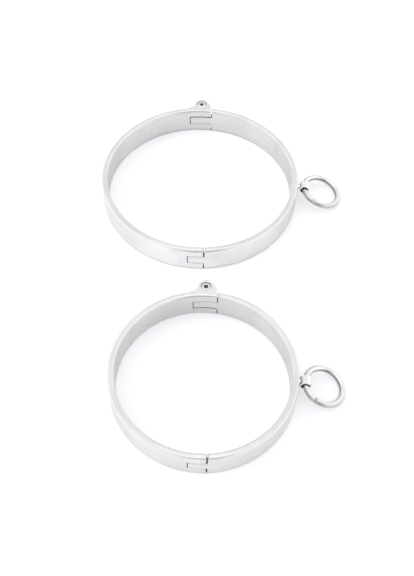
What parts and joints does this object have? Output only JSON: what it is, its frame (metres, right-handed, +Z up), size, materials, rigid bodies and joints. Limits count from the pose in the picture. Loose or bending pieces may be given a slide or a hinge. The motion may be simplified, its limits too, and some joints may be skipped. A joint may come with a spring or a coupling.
{
  "type": "hinged wrist cuff pair",
  "caption": "Rigid round wrist cuffs in two sizes: flat steel bands in hinged halves, each with a keyed turn bolt in a lug and a pull ring in a staple.",
  "frame": {"origin": "middle of the pair's footprint, on the surface that the cuffs lie on", "axes": "+Z up, out of the wrist openings; +Y from the hinges towards the locks; +X towards the pull rings"},
  "size_m": [0.0892, 0.1532, 0.01],
  "materials": {
    "band_steel": "satin",
    "ring_steel": "polished",
    "staple_steel": "satin polished",
    "bolt_steel": "polished",
    "pin_steel": "satin"
  },
  "bodies": {
    "large_tongue_side": {"large_tongue_half": "band_steel", "large_ring_staple": "staple_steel"},
    "large_fork_side": {"large_fork_half": "band_steel", "large_hinge_pin": "pin_steel"},
    "large_bolt": {"large_lock_bolt": "bolt_steel", "large_retaining_clip": "pin_steel"},
    "large_ring": {"large_pull_ring": "ring_steel"},
    "small_fork_side": {"small_fork_half": "band_steel", "small_hinge_pin": "pin_steel"},
    "small_tongue_side": {"small_tongue_half": "band_steel", "small_ring_staple": "staple_steel"},
    "small_bolt": {"small_lock_bolt": "bolt_steel", "small_retaining_clip": "pin_steel"},
    "small_ring": {"small_pull_ring": "ring_steel"}
  },
  "joints": [
    {"name": "large_hinge", "type": "hinge", "parent": "large_tongue_side", "child": "large_fork_side", "pos_m": [-0.00944, 0.00086, 0.005], "axis": [0, 0, 1], "range_deg": [0, 80]},
    {"name": "large_bolt_turn", "type": "hinge", "parent": "large_fork_side", "child": "large_bolt", "pos_m": [-0.00896, 0.0739, 0.005], "axis": [0, 0, 1], "range_deg": [0, 180]},
    {"name": "large_ring_swing", "type": "hinge", "parent": "large_tongue_side", "child": "large_ring", "pos_m": [0.03052, 0.03575, 0.005], "axis": [-0.0052, -1, 0], "range_deg": [-85, 120]},
    {"name": "small_lift_off", "type": "slide", "parent": "large_tongue_side", "child": "small_fork_side", "axis": [0, 0, 1], "range_m": [0, 0.06]},
    {"name": "small_hinge", "type": "hinge", "parent": "small_fork_side", "child": "small_tongue_side", "pos_m": [-0.00633, -0.07546, 0.005], "axis": [0, 0, -1], "range_deg": [0, 125]},
    {"name": "small_bolt_turn", "type": "hinge", "parent": "small_fork_side", "child": "small_bolt", "pos_m": [-0.00483, -0.01495, 0.005], "axis": [0, 0, 1], "range_deg": [0, 180]},
    {"name": "small_ring_swing", "type": "hinge", "parent": "small_tongue_side", "child": "small_ring", "pos_m": [0.02737, -0.04727, 0.005], "axis": [-0.0192, -0.9998, 0], "range_deg": [-85, 120]}
  ]
}
